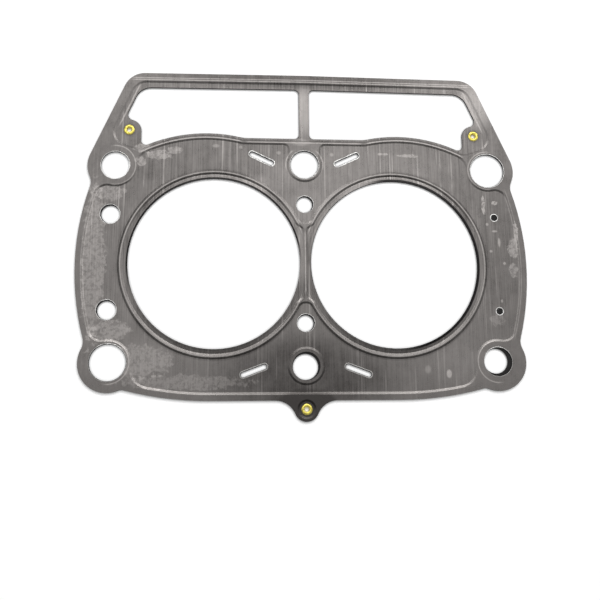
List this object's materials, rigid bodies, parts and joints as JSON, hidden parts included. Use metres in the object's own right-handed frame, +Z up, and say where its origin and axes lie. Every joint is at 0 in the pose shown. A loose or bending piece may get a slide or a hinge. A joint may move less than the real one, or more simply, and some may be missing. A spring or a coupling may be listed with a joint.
{
  "type": "cylinder head gasket",
  "caption": "Flat layered steel head gasket with cylinder bores, embossed sealing beads, bolt and coolant holes, slots, a window frame along one side and brass eyelets.",
  "frame": {"origin": "midway between the two bores, on the surface that the gasket lies on", "axes": "+X from the left bore to the right bore, +Y towards the windows, +Z up through the sheets"},
  "size_m": [0.215, 0.1674, 0.0016],
  "materials": {
    "coated_sheet": "grey coated steel sheet, slightly worn",
    "spacer_coating": "black coated steel",
    "eyelet_brass": "bright brass"
  },
  "bodies": {
    "root": {"bottom_layer": "coated_sheet", "spacer_layer": "spacer_coating", "top_layer": "coated_sheet", "eyelet_left": "eyelet_brass", "eyelet_right": "eyelet_brass", "eyelet_front": "eyelet_brass"}
  },
  "joints": []
}
